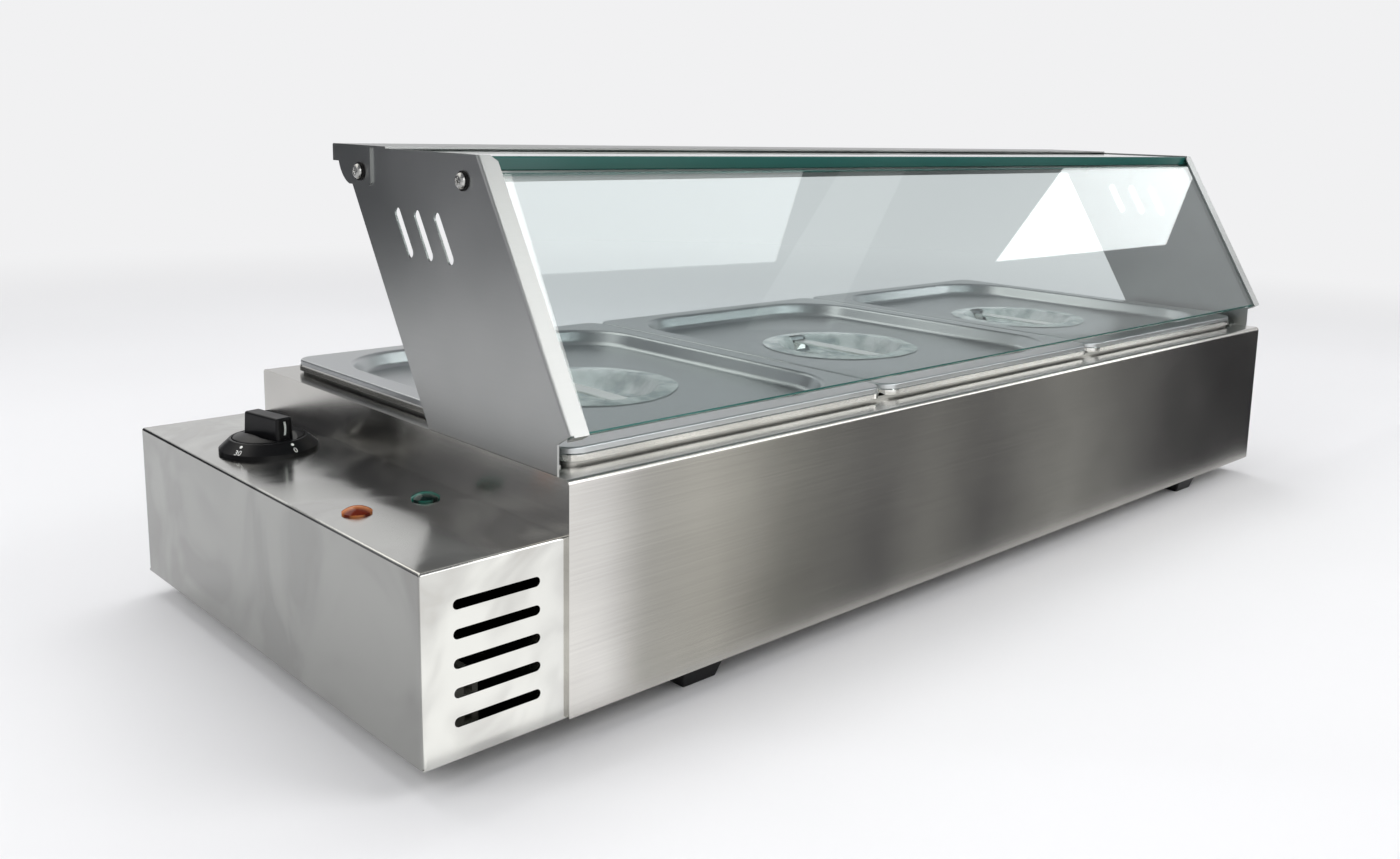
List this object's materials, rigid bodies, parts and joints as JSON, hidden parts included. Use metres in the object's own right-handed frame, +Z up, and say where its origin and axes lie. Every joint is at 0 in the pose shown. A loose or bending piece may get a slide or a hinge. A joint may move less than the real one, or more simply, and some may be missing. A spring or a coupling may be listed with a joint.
{
  "type": "countertop food warmer",
  "caption": "Long stainless countertop food warmer with lidded pans in a heated well, a sloping glass guard and a control box with dial and lamps on its left end.",
  "frame": {"origin": "middle of the overall footprint, on the table the feet stand on", "axes": "+X along the warmer away from the control box, -Y towards the customers and the sloping pane, +Z up"},
  "size_m": [0.908, 0.378, 0.3085],
  "materials": {
    "brushed_stainless": "brushed stainless sheet, fine lengthwise grain",
    "bright_stainless": "bright satin stainless sheet with a pale reflection",
    "pressed_stainless": "drawn stainless, satin grey with polished rims",
    "clear_glass": "clear float glass with polished green edges",
    "black_plastic": "black moulded thermoset, satin",
    "black_rubber": "black moulded rubber",
    "amber_plastic": "translucent amber lens",
    "green_plastic": "translucent dark green lens",
    "zinc_steel": "bright zinc-plated fasteners",
    "element_sheath": "heat-darkened steel sheath",
    "copper_bulb": "bare copper bulb and capillary",
    "white_nylon": "natural white nylon"
  },
  "bodies": {
    "warmer": {"amber_lens": "amber_plastic", "base_plate": "brushed_stainless", "body_shell": "brushed_stainless", "bulb_clip": "zinc_steel", "cable_gland": "black_plastic", "control_box_base": "brushed_stainless", "control_box_cover": "brushed_stainless", "dial_bezel": "black_plastic", "dial_screws": "zinc_steel", "element_glands": "zinc_steel", "element_supports": "pressed_stainless", "foot_front_left": "black_rubber", "foot_front_right": "black_rubber", "foot_nuts": "zinc_steel", "foot_rear_left": "black_rubber", "foot_rear_right": "black_rubber", "foot_screws": "zinc_steel", "front_glass": "clear_glass", "gland_nut": "black_plastic", "glass_bracket_left": "brushed_stainless", "glass_bracket_right": "brushed_stainless", "glass_ledge": "brushed_stainless", "green_lens": "green_plastic", "guard_nuts": "zinc_steel", "guard_screws": "zinc_steel", "guard_washers": "black_plastic", "heating_element": "element_sheath", "lamp_holders": "black_plastic", "lamp_nuts": "black_plastic", "plate_screws": "zinc_steel", "rear_rail": "brushed_stainless", "side_plate_left": "brushed_stainless", "side_plate_right": "brushed_stainless", "terminal_block": "white_nylon", "thermostat_body": "zinc_steel", "thermostat_bulb": "copper_bulb", "top_glass": "clear_glass", "water_tank": "pressed_stainless"},
    "knob": {"knob": "black_plastic", "thermostat_shaft": "zinc_steel"},
    "pan_1_body": {"pan_1": "pressed_stainless"},
    "lid_1_body": {"lid_1": "pressed_stainless", "lid_handle_1": "bright_stainless"},
    "pan_2_body": {"pan_2": "pressed_stainless"},
    "lid_2_body": {"lid_2": "pressed_stainless", "lid_handle_2": "bright_stainless"},
    "pan_3_body": {"pan_3": "pressed_stainless"},
    "lid_3_body": {"lid_3": "pressed_stainless", "lid_handle_3": "bright_stainless"}
  },
  "joints": [
    {"name": "knob_turn", "type": "hinge", "parent": "warmer", "child": "knob", "pos_m": [-0.412, 0.073, 0.116], "axis": [0, 0, 1], "range_deg": [-290, 0]},
    {"name": "pan_1_lift", "type": "slide", "parent": "warmer", "child": "pan_1_body", "axis": [0, 0, 1], "range_m": [0, 0.03]},
    {"name": "lid_1_lift", "type": "slide", "parent": "pan_1_body", "child": "lid_1_body", "axis": [0, 0.5161, 0.8565], "range_m": [0, 0.1]},
    {"name": "pan_2_lift", "type": "slide", "parent": "warmer", "child": "pan_2_body", "axis": [0, 0, 1], "range_m": [0, 0.03]},
    {"name": "lid_2_lift", "type": "slide", "parent": "pan_2_body", "child": "lid_2_body", "axis": [0, 0.5161, 0.8565], "range_m": [0, 0.1]},
    {"name": "pan_3_lift", "type": "slide", "parent": "warmer", "child": "pan_3_body", "axis": [0, 0, 1], "range_m": [0, 0.03]},
    {"name": "lid_3_lift", "type": "slide", "parent": "pan_3_body", "child": "lid_3_body", "axis": [0, 0.5161, 0.8565], "range_m": [0, 0.1]}
  ]
}
